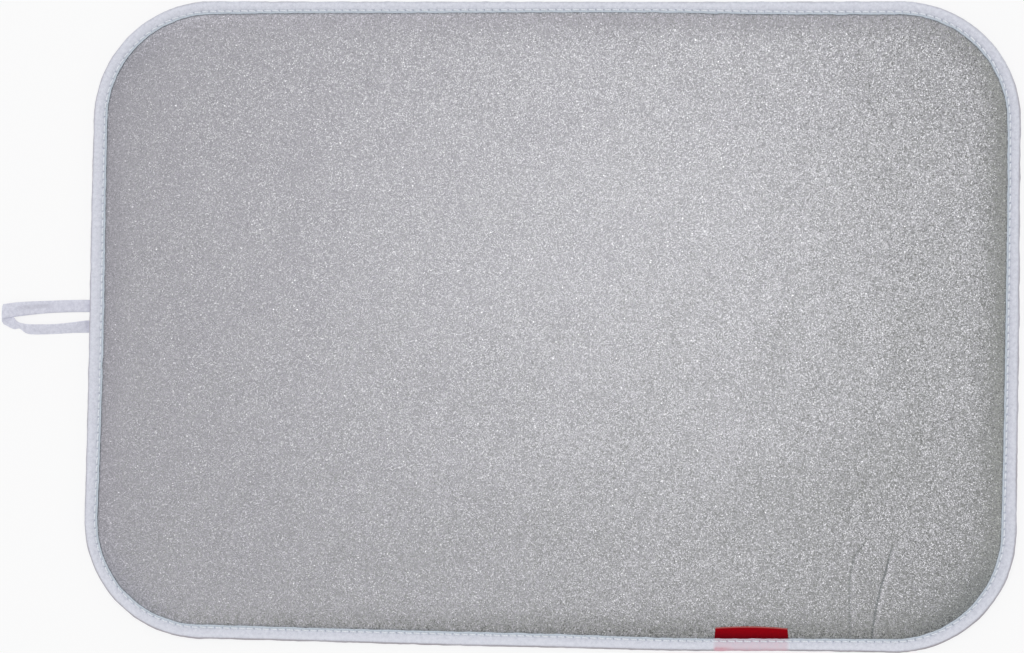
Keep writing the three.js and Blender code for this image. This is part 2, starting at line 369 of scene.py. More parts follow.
# Cotton with an aluminium coating: a soft metallic grey, broken by the weave into flakes that each
# catch the light at their own angle. A real yarn is about 0.4 mm, too fine to show, so yarns are coarser.
silverCloth = {
    "dark": "#929296",
    "light": "#b9b9bc",
    "spark": "#b2b2b5",
    "sparkShare": 0.42,
    "flake": 0.45,
    "tilt": 0.23,
    "roughness": 0.30,
    "sparkRoughness": 0.18,
    "glint": "#e0e0e2",  # a few flakes that lie bare and bright
    "glintShare": 0.004,
    "glintSize": 0.65,
    "shadow": "#666d78",  # painted shadow in the dip beside the binding, at the corners and in the creases
    "cloud": 28.0,
    "cloudShare": 0.35,
    "yarn": 1.3,
    "yarnDepth": 0.012,
}


def metallisedCotton(settings):
    material, tree, shader, place = startMaterial("metallised_cotton", {"Metallic": 1.0})
    flakes, bare = (
        addNode(tree, "TexVoronoi", {"Vector": place, "Scale": perMetre(settings[size])},
                voronoi_dimensions="2D").outputs["Color"]
        for size in ("flake", "glintSize")
    )
    centred = addNode(tree, "VectorMath", {0: flakes, 1: (0.5, 0.5, 0.5)}, operation="SUBTRACT")
    leaning = addNode(tree, "VectorMath",
                      {0: centred, 1: (settings["tilt"], settings["tilt"], 0.0)}, operation="MULTIPLY")
    warp, weft = yarnBands(tree, place, settings["yarn"],
                           {"Distortion": 1.2, "Detail": 1.0, "Detail Scale": 2.0})
    weave = addNode(tree, "Math", {0: warp, 1: weft}, operation="MULTIPLY")
    relief = addNode(tree, "Bump",
                     {"Height": weave, "Strength": 0.5, "Distance": settings["yarnDepth"] * mm})
    leant = addNode(tree, "VectorMath", {0: relief, 1: leaning}, operation="ADD")
    facing = addNode(tree, "VectorMath", {0: leant}, operation="NORMALIZE")
    value = addNode(tree, "SeparateColor", {"Color": flakes}).outputs["Blue"]
    clouds = addNode(tree, "TexNoise", {"Vector": place, "Scale": perMetre(settings["cloud"]),
                                        "Detail": 3.0, "Roughness": 0.6})
    blend = addNode(tree, "Math", {0: clouds, 1: settings["cloudShare"], 2: value},
                    operation="MULTIPLY_ADD")
    level = addNode(tree, "MapRange", {"Value": blend, "From Max": 1 + settings["cloudShare"]})
    chosen = addNode(tree, "SeparateColor", {"Color": bare}).outputs["Red"]
    spark, glint = (
        addNode(tree, "Math", {0: number, 1: 1 - settings[part]}, operation="GREATER_THAN")
        for number, part in ((value, "sparkShare"), (chosen, "glintShare"))
    )
    rough = addNode(tree, "MapRange",
                    {"Value": spark, "To Min": settings["roughness"], "To Max": settings["sparkRoughness"]})
    # painted shade from the dip mark, beside the binding, at the corners and in the creases
    dip = addNode(tree, "Attribute", attribute_name="dip").outputs["Fac"]
    colour = layColours(tree, settings["dark"], settings,
                        [("light", level), ("spark", spark), ("glint", glint), ("shadow", dip)])
    setSockets(tree, shader, {"Base Color": colour, "Roughness": rough, "Normal": facing})
    return material


# Woven tape of cotton and polyester: a matt white with a cool cast and a faint plain weave.
# Its threads are about 0.35 mm apart, drawn at twice that so that they show.
whiteTape = {
    "shade": "#bcbfcc",
    "light": "#e8eaf4",
    "blush": "#d9a9b6",  # red of the label showing through the tape that covers it
    "lip": "#c3d0da",  # painted shade on the tape's edge inside the seam
    "seamShade": "#97a3b3",  # painted shade in the groove and needle holes of the seam
    "rim": "#968d93",  # painted shade on the outermost fold, darkest in front
    "thread": 0.7,
    "depth": 0.06,
    "cloud": 2.2,
    "roughness": 0.82,
    "sheen": 0.15,
}
# The loop's tape is a little bluer, and its crease colour is painted shade
loopWhite = dict(whiteTape, shade="#c8c9d8", light="#f0f1fc", crease="#9f9dac")

# Where the label's red shows through: faintly over its width, strongly at the outer left
labelBlush = {
    "faint": 0.7,
    "strong": 1.6,
    "sideFade": 1.5,
    "faintInset": (10.0, 8.0),
    "strongInset": (3.2, 0.0),
    "strongReach": (13.0, 3.0),  # from the label's left side
    "rightShare": 0.25,
    "height": (edgeLift + 1.0, edgeMiddle + 0.5),  # not on the underside
}


def blushFactor(tree, place, clouds, settings):
    split = addNode(tree, "SeparateXYZ", {"Vector": place})
    off = addNode(tree, "Math", {0: split.outputs["X"], 1: labelMiddle * mm}, operation="SUBTRACT")
    away = addNode(tree, "Math", {0: off}, operation="ABSOLUTE")
    inset = addNode(tree, "Math", {0: split.outputs["Y"], 1: padWidth / 2 * mm}, operation="ADD")
    sides = (labelHalf + settings["sideFade"], labelHalf - settings["sideFade"])
    left = [reach - labelHalf for reach in settings["strongReach"]]
    over, faint, outer, leftward, upper = (
        addNode(tree, "MapRange",
                {"Value": value, "From Min": span[0] * mm, "From Max": span[1] * mm,
                 "To Min": least, "To Max": most}, interpolation_type=kind)
        for value, span, least, most, kind in (
            (away, sides, 0.0, 1.0, "SMOOTHSTEP"),
            (inset, settings["faintInset"], 0.0, settings["faint"], "LINEAR"),
            (inset, settings["strongInset"], 0.0, 1.0, "SMOOTHSTEP"),
            (off, left, settings["rightShare"], 1.0, "SMOOTHSTEP"),
            (split.outputs["Z"], settings["height"], 0.0, 1.0, "LINEAR"),
        )
    )
    wedge = addNode(tree, "Math", {0: outer, 1: leftward}, operation="MULTIPLY")
    amount = addNode(tree, "Math", {0: wedge, 1: settings["strong"], 2: faint},
                     operation="MULTIPLY_ADD")
    for factor in (over, clouds, upper):
        amount = addNode(tree, "Math", {0: amount, 1: factor}, operation="MULTIPLY")
    return amount


def wovenTape(settings, name, marks, blush=None, folded=False):
    # A mark is the name of a colour of the tape and of the numbers on the mesh that say where it is
    material, tree, shader, place = startMaterial(
        name, {"Roughness": settings["roughness"], "Sheen Weight": settings["sheen"]})
    cut = addNode(tree, "VectorRotate", {"Vector": place, "Angle": math.pi / 4 if folded else 0.0},
                  rotation_type="Z_AXIS")  # bias tape is cut across the weave
    warp, weft = yarnBands(tree, cut, settings["thread"], {"Distortion": 0.8, "Detail": 1.0})
    weave = addNode(tree, "Math", {0: warp, 1: weft}, operation="MULTIPLY")
    relief = addNode(tree, "Bump",
                     {"Height": weave, "Strength": 0.6, "Distance": settings["depth"] * mm})
    clouds = addNode(tree, "TexNoise", {"Vector": place, "Scale": perMetre(settings["cloud"]),
                                        "Detail": 5.0, "Roughness": 0.75})
    woven = addNode(tree, "Math", {0: weave, 1: 0.3, 2: clouds}, operation="MULTIPLY_ADD")
    level = addNode(tree, "MapRange", {"Value": woven, "From Min": 0.3, "From Max": 0.85})
    if folded:
        # painted light and shade across and round the binding
        lift = addNode(tree, "Attribute", attribute_name="lift").outputs["Fac"]
        level = addNode(tree, "Math", {0: level, 1: lift}, operation="ADD", use_clamp=True)
    layers = [("light", level)]
    # each mark lays painted shade over the tape
    for mark in marks:
        layers.append((mark, addNode(tree, "Attribute", attribute_name=mark).outputs["Fac"]))
    if blush:
        layers.append(("blush", blushFactor(tree, place, clouds, blush)))
    colour = layColours(tree, settings["shade"], settings, layers)
    setSockets(tree, shader, {"Base Color": colour, "Normal": relief})
    return material


# Spun polyester sewing thread: two plies twisted together, a shade bluer and glossier than the tape
seamThread = {"dark": "#dfe6ef", "light": "#fafcff", "ply": 0.5, "depth": 0.08, "roughness": 0.5}


def polyesterThread(settings):
    material, tree, shader, place = startMaterial("polyester_thread", {"Roughness": settings["roughness"]})
    twist = addNode(tree, "TexWave",
                    {"Vector": place, "Scale": waveScale(settings["ply"]), "Distortion": 0.4},
                    bands_direction="DIAGONAL").outputs["Fac"]
    dressPlain(tree, shader, settings, twist, twist, 0.7)
    return material


# Damask label: dense satin weave of red polyester, faintly ribbed across, with a soft sheen.
# Its picks are about 0.15 mm apart, drawn at three times that so that the ribs show.
redLabel = {
    "dark": "#62000f",
    "light": "#a5000e",
    "fold": "#c4807c",  # painted highlight along the fold
    "foldHighlightShare": 0.7,
    "pick": 0.45,
    "depth": 0.05,
    "grain": 1.2,
    "shaded": (-0.5, 3.5),  # from the binding's edge, the run over which the painted shade beside it lifts
    "shadedLevel": 0.25,
    "roughness": 0.7,
    "specular": 0.05,
}


def damaskLabel(settings):
    material, tree, shader, place = startMaterial(
        "damask_label", {"Roughness": settings["roughness"], "Specular IOR Level": settings["specular"]})
    ribs = addNode(tree, "TexWave",
                   {"Vector": place, "Scale": waveScale(settings["pick"]), "Distortion": 0.5,
                    "Detail": 1.0}, bands_direction="Y").outputs["Fac"]
    grain = addNode(tree, "TexNoise", {"Vector": place, "Scale": perMetre(settings["grain"]),
                                       "Detail": 4.0, "Roughness": 0.7})
    mixed = addNode(tree, "Math", {0: ribs, 1: 0.3, 2: grain}, operation="MULTIPLY_ADD")
    split = addNode(tree, "SeparateXYZ", {"Vector": place})
    start, end = (pad["bindingWidth"] - padWidth / 2 + reach for reach in settings["shaded"])
    # painted shade near the binding, lifting toward the fold
    free = addNode(tree, "MapRange",
                   {"Value": split.outputs["Y"], "From Min": start * mm, "From Max": end * mm,
                    "To Min": settings["shadedLevel"]})
    level = addNode(tree, "Math", {0: mixed, 1: free}, operation="MULTIPLY")
    # painted highlight along the label's fold
    toFold = addNode(tree, "Attribute", attribute_name="to_fold").outputs["Fac"]
    foldHighlight = addNode(tree, "MapRange",
                   {"Value": toFold, "From Min": 0.95, "From Max": 1.0, "To Max": settings["foldHighlightShare"]})
    relief = addNode(tree, "Bump",
                     {"Height": ribs, "Strength": 0.5, "Distance": settings["depth"] * mm})
    colour = layColours(tree, settings["dark"], settings, [("light", level), ("fold", foldHighlight)])
    setSockets(tree, shader, {"Base Color": colour, "Normal": relief})
    return material


# Unbleached cotton, plain woven: dull warm white with slubs, threads 0.6 mm apart drawn at 1 mm
rawCotton = {"dark": "#bdb9ae", "light": "#d9d6cd", "thread": 1.0, "slub": 9.0, "depth": 0.12,
             "roughness": 0.9}


def plainCotton(settings):
    material, tree, shader, place = startMaterial("plain_cotton", {"Roughness": settings["roughness"]})
    warp, weft = yarnBands(tree, place, settings["thread"],
                           {"Distortion": 1.0, "Detail": 2.0, "Detail Scale": 1.5})
    weave = addNode(tree, "Math", {0: warp, 1: weft}, operation="MAXIMUM")
    slubs = addNode(tree, "TexNoise", {"Vector": place, "Scale": perMetre(settings["slub"]),
                                       "Detail": 5.0, "Roughness": 0.7})
    mixed = addNode(tree, "Math", {0: weave, 1: 0.45, 2: slubs}, operation="MULTIPLY_ADD")
    level = addNode(tree, "MapRange", {"Value": mixed, "From Min": 0.3, "From Max": 1.1})
    dressPlain(tree, shader, settings, level, weave, 0.6)
    return material


# Needled felt and open polyurethane foam, dull and fibrous or porous, both shut in between the cloths
paleFelt = {"dark": "#d6d3ca", "light": "#eeece6", "grain": 2.5, "depth": 0.4, "roughness": 0.95}
creamFoam = {"dark": "#cfc8b0", "light": "#e9e4d2", "grain": 0.9, "depth": 0.3, "roughness": 0.95}


def fillingMaterial(settings, name):
    material, tree, shader, place = startMaterial(name, {"Roughness": settings["roughness"]})
    grain = addNode(tree, "TexNoise", {"Vector": place, "Scale": perMetre(settings["grain"]),
                                       "Detail": 6.0, "Roughness": 0.75})
    dressPlain(tree, shader, settings, grain, grain, 0.8)
    return material


coverMaterial = metallisedCotton(silverCloth)
# the lip, seam and rim marks of the binding and the loop's crease are painted shade
bindingMaterial = wovenTape(whiteTape, "bias_binding", ("lip", "seamShade", "rim"), labelBlush, folded=True)
loopMaterial = wovenTape(loopWhite, "cotton_tape", ("crease",))
threadMaterial = polyesterThread(seamThread)
labelMaterial = damaskLabel(redLabel)
backingMaterial = plainCotton(rawCotton)
feltMaterial = fillingMaterial(paleFelt, "needle_felt")
foamMaterial = fillingMaterial(creamFoam, "polyurethane_foam")
print("materials ready")

# Binding: bias tape folded over the edge, drawn in at each needle hole and puffed between seam and fold.
# Waves are given as height, size and seed.
binding = {
    "stations": (0.0, 0.08, 0.21, 0.5, 0.79, 0.92),  # shares of each stitch
    "leaf": (8.1, 7.7, 7.3, 7.05, 6.8, 6.55, 6.3, 5.9, 5.2, 4.4, 3.5),  # insets of the points across it
    "lowerLeaf": (8.1, 7.3, 7.05, 6.8, 6.55, 6.3, 5.2, 3.8),
    "innerLeaf": (7.6, 5.2, 3.0),
    "innerFold": [(1.5, 1.2, 0.7), (1.1, 0.0, 0.5), (1.5, -1.2, 0.3)],  # inset, above middle, height share
    "lipRound": [(0.1, 0.18), (0.0, 0.5), (0.1, 0.82)],  # back from the tape's edge, share of its thickness
    "foldDepth": 2.6,
    "foldSteps": 11,
    "foldPower": 0.75,
    "foldDraw": 0.12,
    "foldWaves": [(0.12, 20.0, 15), (0.05, 6.0, 16)],
    "puff": 0.32,
    "puffInset": 1.0,
    "puffPower": 0.8,
    "groove": 0.26,
    "grooveWidth": 0.65,
    "hole": 0.55,
    "holeAcross": 0.45,
    "holeAlong": 0.5,
    "pucker": 0.10,
    "puckerWidth": 2.4,
    "puckerSlant": 0.8,
    "upperRuffle": (0.13, 16.0, 13),
    "lowerRuffle": (0.13, 16.0, 14),
    "ruffleSlant": 0.6,
    "lip": 0.10,
    "lipStart": 0.3,  # beyond the seam
    "lipRamp": 1.2,
    "lowerShare": 0.6,  # how much of the upper leaf's relief the lower one has
    "leafWidths": (9.0, 8.7, 9.0, 8.7, 8.0, 7.8, 8.7, 9.5, 8.8, 8.6, 7.9, 8.8, 8.7, 8.4, 7.2, 7.2, 7.6, 7.8,
                   8.9, 9.2, 9.7, 9.9, 9.3, 8.6),  # at even steps round the seam
    "leafGrip": (3.0, 4.0),  # insets over which a leaf starts to follow its own width
    "lowerGrip": 0.3,
    "wander": (0.12, 18.0, 12),
    "stitchWander": 0.05,
    "lift": [(0.8, 0.0), (2.2, 0.36), (4.0, 0.18), (5.6, 0.04), (8.5, 0.0)],  # painted light at insets, brightest on the puffed belly; 0 plain
    # painted light on the front of the binding and painted shade on its right
    "frontLight": 0.1,
    "rightShade": -0.08,
    # how strong the painted shade on the lip is, and where it sets in
    "lipShade": 0.7,
    "lipToneStart": 0.1,
    "lipToneRamp": 0.9,
    # painted shade in the seam's groove and needle holes
    "grooveShade": 0.05,
    "seamToneWidth": 0.7,
    "holeShade": 0.4,
    "holeToneWidth": 0.65,
    "leftHoles": 0.6,  # the needle holes on the left face the light
    "rim": [(-18.0, 0.0), (0.0, 0.2), (18.0, 0.8), (36.0, 1.0), (54.0, 0.55),
            (72.0, 0.0)],  # painted shade at turns of the fold
    # how dark the painted shade on the rim is, the more so in front
    "rimShade": 0.58,
    "rimFront": 0.42,
    "rimWaves": (0.12, 60.0, 17),
}


def bindingSection():
    # Inset, level and height share (0 lower leaf, 1 upper leaf) of points round the folded tape
    turns = np.linspace(-math.pi / 2, math.pi / 2, binding["foldSteps"])
    halfEdge = (edgeTop - edgeLift) / 2
    thick = pad["bindingThickness"]
    width = pad["bindingWidth"]
    outer = [(inset, edgeLift, 0.0) for inset in binding["lowerLeaf"]]
    for turn in turns:
        inset = binding["foldDepth"] * (1 - abs(math.cos(turn)) ** binding["foldPower"])
        outer.append((inset, edgeMiddle + halfEdge * math.sin(turn), (math.sin(turn) + 1) / 2))
    outer += [(inset, edgeTop, 1.0) for inset in reversed(binding["leaf"])]
    inner = [(width - back, edgeTop - part * thick, 1.0) for back, part in binding["lipRound"]]
    inner += [(inset, upperLeafBottom, 1.0) for inset in binding["innerLeaf"]]
    inner += [(inset, edgeMiddle + above, part) for inset, above, part in binding["innerFold"]]
    inner += [(inset, lowerLeafTop, 0.0) for inset in reversed(binding["innerLeaf"])]
    inner += [(width - back, edgeLift + part * thick, 0.0) for back, part in reversed(binding["lipRound"])]
    return outer, inner


def leafShift(along, inset, upper):
    # How much further in than the pattern a leaf lies: the upper one was folded over by hand
    wider = roundEdge(binding["leafWidths"], along) - pad["bindingWidth"]
    return wider * share(inset, *binding["leafGrip"]) * (1.0 if upper else binding["lowerGrip"])


def labelRise(x, y):
    return pad["labelLift"] * nearby(x - labelMiddle, labelHalf) * (y < 0)


def leafRelief(inset, along, upper):
    # How far a leaf's outer face stands out of its plain level
    fromSeam = inset - seamInset
    belly = np.sin(share(seamInset - inset, 0, seamInset - binding["puffInset"]) * math.pi)
    puff = binding["puff"] * belly ** binding["puffPower"]
    groove = -binding["groove"] * np.exp(-(fromSeam / binding["grooveWidth"]) ** 2)
    hole = -binding["hole"] * np.exp(-(fromSeam / binding["holeAcross"]) ** 2
                                     - (fromHole(along) / binding["holeAlong"]) ** 2)
    slant = along - binding["puckerSlant"] * fromSeam
    pucker = -binding["pucker"] * stitchPhase(slant) * np.exp(-(fromSeam / binding["puckerWidth"]) ** 2)
    ruffle = seamWaves(along + binding["ruffleSlant"] * inset,
                       *binding["upperRuffle" if upper else "lowerRuffle"]) * belly
    turnedUp = share(inset, seamInset + binding["lipStart"], binding["lipRamp"])
    lip = binding["lip"] * turnedUp * (0.6 - 0.4 * stitchPhase(along))
    return puff + groove + hole + pucker + ruffle + lip


def makeBinding():
    along = ((np.arange(stitchCount)[:, None] + binding["stations"]) * stitchLength).ravel()
    count = len(along)
    seam, outward = seamPoints(along)
    rise = labelRise(seam[:, 0], seam[:, 1])
    wander = seamWaves(along, *binding["wander"]) + binding["stitchWander"] * stitchPhase(along)
    bulge = sum(seamWaves(along, *wave) for wave in binding["foldWaves"])
    left, right, front = (np.clip(part, 0, 1) for part in (-outward[:, 0], outward[:, 0], -outward[:, 1]))
    # painted light in front and painted shade on the right
    sideLightAndShade = binding["frontLight"] * front + binding["rightShade"] * right
    # painted shade at the needle holes, less on the left
    holes = binding["holeShade"] * np.exp(-(fromHole(along) / binding["holeToneWidth"]) ** 2)
    holes = holes * (1 + (binding["leftHoles"] - 1) * left)
    # painted shade on the outer fold, strongest in front
    rimShade = binding["rimShade"] - binding["rimFront"] * outward[:, 1]
    rimShade = rimShade + seamWaves(along, *binding["rimWaves"])
    marks = {"lift": [], "lip": [], "seamShade": [], "rim": []}
    rows = []
    outer, inner = bindingSection()
    for order, (inset, level, upper) in enumerate(outer + inner):
        shift = leafShift(along, inset, upper >= 0.5) + wander * share(inset, seamInset, 1.0)
        plan = seam - outward * (inset - seamInset + shift)[:, None]
        height = level + rise * ease(share(upper, 0.3, 0.6))
        if order < len(outer) and upper in (0.0, 1.0):
            relief = leafRelief(np.full(count, inset), along, upper)
            height = height + relief * (1 if upper else -binding["lowerShare"])
        elif order < len(outer):
            plan = plan + outward * (bulge * math.sin(upper * math.pi) - binding["foldDraw"])[:, None]
        rows.append(np.column_stack([plan, height]))
        turn = math.degrees(math.asin(2 * upper - 1))
        groove = math.exp(-((inset - seamInset) / binding["seamToneWidth"]) ** 2)
        tight = ease(share(inset, seamInset + binding["lipToneStart"], binding["lipToneRamp"]))
        # painted light and shade of the tape: light on the belly and in front, shade on the right, lip,
        # seam and rim
        marks["lift"].append(sideLightAndShade + np.interp(inset, *zip(*binding["lift"])))
        marks["lip"].append(np.full(count, binding["lipShade"] * tight))
        marks["seamShade"].append(groove * (binding["grooveShade"] + holes))
        marks["rim"].append(np.clip(rimShade, 0, 1) * np.interp(turn, *zip(*binding["rim"])))
    faces = gridFaces(len(rows), count, closedRows=True, closedColumns=True)
    marks = {mark: np.concatenate(values) for mark, values in marks.items()}
    return addPiece("bias_binding_tape", stray(np.concatenate(rows)), faces, bindingMaterial, marks)


bindingPiece = makeBinding()

# Stitches: one short arched length of thread from needle hole to needle hole, above and below.
# A real thread is about 0.4 mm thick, drawn thicker so that it shows.
stitches = {
    "diameter": 0.75,
    "sides": 8,
    "steps": 11,
    "slant": 0.16,
    "sink": 0.6,
    "gap": 0.45,
    "slack": 0.05,
    "upperStand": 0.75,  # height of the thread's middle over the groove, in radii
    "lowerStand": 0.55,
}


def makeStitches(name, upper, seed):
    pick = np.random.RandomState(seed)
    sides = stitches["sides"]
    steps = stitches["steps"]
    turns = np.arange(sides) / sides * math.tau
    radius = stitches["diameter"] / 2
    part = np.linspace(0, 1, steps)
    sunk = stitches["sink"] * np.abs(2 * part - 1) ** 6
    points = []
    faces = []
    for stitch in range(stitchCount):
        slack = pick.uniform(-stitches["slack"], stitches["slack"], 3)
        along = stitch * stitchLength + stitches["gap"] + part * (stitchLength - 2 * stitches["gap"])
        seam, outward = seamPoints(along)
        ground = leafRelief(np.full(steps, seamInset), along, upper)
        if upper:
            ground = ground + labelRise(seam[:, 0], seam[:, 1])
            height = edgeTop + ground + radius * (stitches["upperStand"] + slack[1]) - sunk
        else:
            ground = binding["lowerShare"] * ground
            height = edgeLift - ground - radius * (stitches["lowerStand"] + slack[1]) + sunk
        lean = stitches["slant"] * (part - 0.5) * 2 + slack[0] - leafShift(along, seamInset, upper)
        centre = np.column_stack([seam + outward * lean[:, None], height])
        heading = unit(np.gradient(centre, axis=0))
        aside = np.column_stack([outward, np.zeros(steps)])
        aside = unit(aside - heading * np.sum(aside * heading, axis=1)[:, None])
        above = np.cross(heading, aside)
        ring = centre[:, None] + radius * (np.cos(turns)[None, :, None] * aside[:, None]
                                           + np.sin(turns)[None, :, None] * above[:, None])
        points.append(ring.reshape(-1, 3))
        first = stitch * steps * sides
        last = first + (steps - 1) * sides
        faces += gridFaces(steps, sides, closedColumns=True, first=first)
        faces += [range(first + sides - 1, first - 1, -1), range(last, last + sides)]
    return addPiece(name, stray(np.concatenate(points)), faces, threadMaterial)


needlePiece = makeStitches("needle_stitches", True, 21)
bobbinPiece = makeStitches("bobbin_stitches", False, 22)
print("binding and stitches made:", stitchCount, "stitches")

# Cover cloth: drawn in by the stitches, slack in slow waves, with two creases near the front right corner
cover = {
    "rows": [(pad["cutEdge"], 2), (4.6, 2), (6.6, 4), (7.6, 4), (8.5, 4), (9.4, 4), (10.4, 4), (11.6, 4),
             (13.0, 4), (15.0, 2), (17.2, 2), (19.6, 2), (22.2, 2), (25.0, 2), (28.0, 2),
             (31.2, 2)],  # inset, and points to a stitch
    "latticeStep": 3.2,
    "seamRamp": 3.0,  # from the seam in, the run over which pucker and gathers set in
    "stitchPucker": 0.05,
    "stitchFade": 3.5,
    "gathers": [(0.042, 13.0, 3), (0.018, 6.5, 4)],  # height, size and seed
    "gatherFade": 10.0,
    "slack": [(0.13, 95.0, 5), (0.04, 33.0, 6)],
    "pressed": 0.25,  # under the binding, where the needle holes reach
    "creases": [
        {"line": [(215.8, -131.6), (214.5, -138.2), (211.6, -149.3), (208.6, -160.2), (205.7, -172.4),
                  (203.8, -185.6), (203.0, -192.5)], "depth": 0.13, "dark": 0.55},
        {"line": [(199.8, -129.8), (198.3, -133.9), (191.8, -142.7), (189.2, -156.5), (189.2, -163.6),
                  (189.7, -185.0), (189.8, -192.0)], "depth": 0.08, "dark": 0.25},
    ],
    "creaseWidth": 1.0,
    "creaseFlank": 3.6,
    "creaseStart": 0.15,  # share of its length over which a crease sets in
    "creaseEnd": (0.85, 0.15),  # and over which it loses some of its depth
    "creaseLoss": 0.4,
    "creaseStep": 0.42,
    "creaseBand": 4.2,
    "creaseInset": 12.0,
    "creaseX": (180.0, 226.0),
    "creaseY": (-192.0, -122.0),
    "creaseOffset": (0.37, 0.21),  # of its fine points from the lattice's, in steps
    "dip": 0.34,  # how dark the painted shade is where the cloth meets the binding
    "dipWidth": 1.4,
    "cornerShades": (0.36, 0.0, 0.14, 0.28),  # painted shade at the corners, from the front right round to the front left
    "cornerFade": 9.0,
    "darkPlace": -0.4,  # of a crease's shadow, beside its line
    "darkWidth": 0.55,
    "darkStart": 0.3,
}


def creaseReach(x, y, line):
    # Distance to a crease line, negative on its other side, and how far along it
    best = np.full(len(x), 1e9)
    aside = np.zeros(len(x))
    along = np.zeros(len(x))
    for step, (start, end) in enumerate(zip(line[:-1], line[1:])):
        length = math.dist(start, end)
        run = (np.array(end) - np.array(start)) / length
        awayX = x - start[0]
        awayY = y - start[1]
        reach = np.clip(awayX * run[0] + awayY * run[1], 0, length)
        gap = np.hypot(awayX - reach * run[0], awayY - reach * run[1])
        nearer = gap < best
        best[nearer] = gap[nearer]
        aside[nearer] = (awayY * run[0] - awayX * run[1])[nearer]
        along[nearer] = (step + reach / length)[nearer] / (len(line) - 1)
    return np.copysign(best, aside), along


def creaseHeights(x, y):
    total = np.zeros(len(x))
    for crease in cover["creases"]:
        aside, along = creaseReach(x, y, crease["line"])
        fade = ease(share(along, 0.0, cover["creaseStart"]))
        fade = fade * (1 - cover["creaseLoss"] * share(along, *cover["creaseEnd"]))
        steep = ease(share(aside, -cover["creaseWidth"], cover["creaseWidth"]))
        gentle = 1 - ease(share(aside, 0.0, cover["creaseFlank"]))
        total -= crease["depth"] * steep * gentle * fade
    return total


def coverShade(x, y):
    # Painted shade: how deep in shadow the cloth lies, beside the binding, at the corners and along the
    # creases
    inset, along = seamPlaces(x, y)
    fromBinding = inset - roundEdge(binding["leafWidths"], along)
    dip = cover["dip"] * ease(1 - share(fromBinding, 0.0, cover["dipWidth"]))
    fading = np.exp(-np.maximum(fromBinding - cover["dipWidth"], 0) / cover["cornerFade"])
    for corner, depth in enumerate(cover["cornerShades"]):
        turned = share(along, sideStarts[corner] + sideRuns[corner], cornerRun)
        dip = np.maximum(dip, depth * np.sin(turned * math.pi) * fading)
    for crease in cover["creases"]:
        aside, reach = creaseReach(x, y, crease["line"])
        line = crease["dark"] * np.exp(-((aside - cover["darkPlace"]) / cover["darkWidth"]) ** 2)
        dip = np.maximum(dip, line * ease(share(reach, 0.0, cover["darkStart"])))
    return dip


def smoothTop(x, y, inset):
    risen = swell(share(inset, pad["bindingWidth"] - pad["shoulderTuck"], pad["shoulderWidth"]))
    crown = (1 - (2 * x / padLength) ** 2) * (1 - (2 * y / padWidth) ** 2)
    return stackTop + (padHeight - pad["crownRise"] - stackTop) * risen + pad["crownRise"] * crown * risen


def coverTop(x, y):
    inset, along = seamPlaces(x, y)
    beyond = np.maximum(inset - pad["bindingWidth"], 0)
    inside = share(inset, seamInset, cover["seamRamp"])
    drawn = cover["stitchPucker"] * (stitchPhase(along) + 1) / 2
    gathers = sum(seamWaves(along, *wave) for wave in cover["gathers"])
    slack = sum(waves(x, y, *wave) for wave in cover["slack"])
    covered = 1 - share(inset, pad["cutEdge"], seamInset - pad["cutEdge"])
    height = smoothTop(x, y, inset) + creaseHeights(x, y)
    height -= drawn * np.exp(-beyond / cover["stitchFade"]) * inside
    height += gathers * np.exp(-beyond / cover["gatherFade"]) * inside
    height += slack * share(inset, pad["bindingWidth"], 2 * pad["shoulderWidth"])
    return height - cover["pressed"] * ease(1 - np.abs(2 * covered - 1))


def undersideLevel(x, y, inset):
    settled = swell(share(inset, pad["settleInset"], pad["undersideShoulder"]))
    loopGive = pad["loopLift"] * nearby(y - loopMiddle, loopHalf) * (x < 0)
    return (stackBottom + loopGive) * (1 - settled)


def layOut(rows, latticeStep, extra=None):
    # A layer in plan: rows of points at insets from the edge, then a lattice over the middle
    plan = []
    for inset, perStitch in rows:
        count = perStitch * stitchCount
        seam, outward = seamPoints(np.arange(count) * seamLength / count)
        plan.append(seam - outward * (inset - seamInset))
    rimCount = len(plan[0])
    columns = np.arange(-padLength / 2, padLength / 2, latticeStep)
    lines = np.arange(-padWidth / 2, padWidth / 2, latticeStep * math.sqrt(3) / 2)
    gridX, gridY = np.meshgrid(columns, lines)
    gridX = (gridX + (np.arange(len(lines)) % 2)[:, None] * latticeStep / 2).ravel()
    gridY = gridY.ravel()
    inset, _ = seamPlaces(gridX, gridY)
    inner = inset > rows[-1][0] + latticeStep * 0.6
    plan.append(np.stack([gridX[inner], gridY[inner]], axis=1))
    if extra is not None:
        plan.append(extra)
    plan = np.concatenate(plan)
    rim = [(at, (at + 1) % rimCount) for at in range(rimCount)]
    made = delaunay_2d_cdt([Vector(point) for point in plan.tolist()], rim, [], 1, 1e-5)
    points = np.array([tuple(point) for point in made[0]])
    faces = np.array(made[2])
    corners = points[faces]
    edgeA = corners[:, 1] - corners[:, 0]
    edgeB = corners[:, 2] - corners[:, 0]
    backward = edgeA[:, 0] * edgeB[:, 1] - edgeA[:, 1] * edgeB[:, 0] < 0
    faces[backward] = faces[backward][:, ::-1]
    place = {source: at for at, sources in enumerate(made[3]) for source in sources}
    return points, faces, [place[at] for at in range(rimCount)]


def addLayer(name, plan, lower, upper, material, marks=None):
    # A closed piece between two heights over the same plan
    points, faces, rim = plan
    count = len(points)
    solid = np.concatenate([np.column_stack([points, upper]), np.column_stack([points, lower])])
    walls = [(start, start + count, end + count, end) for start, end in zip(rim, rim[1:] + rim[:1])]
    faces = faces.tolist() + (faces[:, ::-1] + count).tolist() + walls
    return addPiece(name, stray(solid), faces, material,
                    {mark: np.tile(values, 2) for mark, values in (marks or {}).items()})


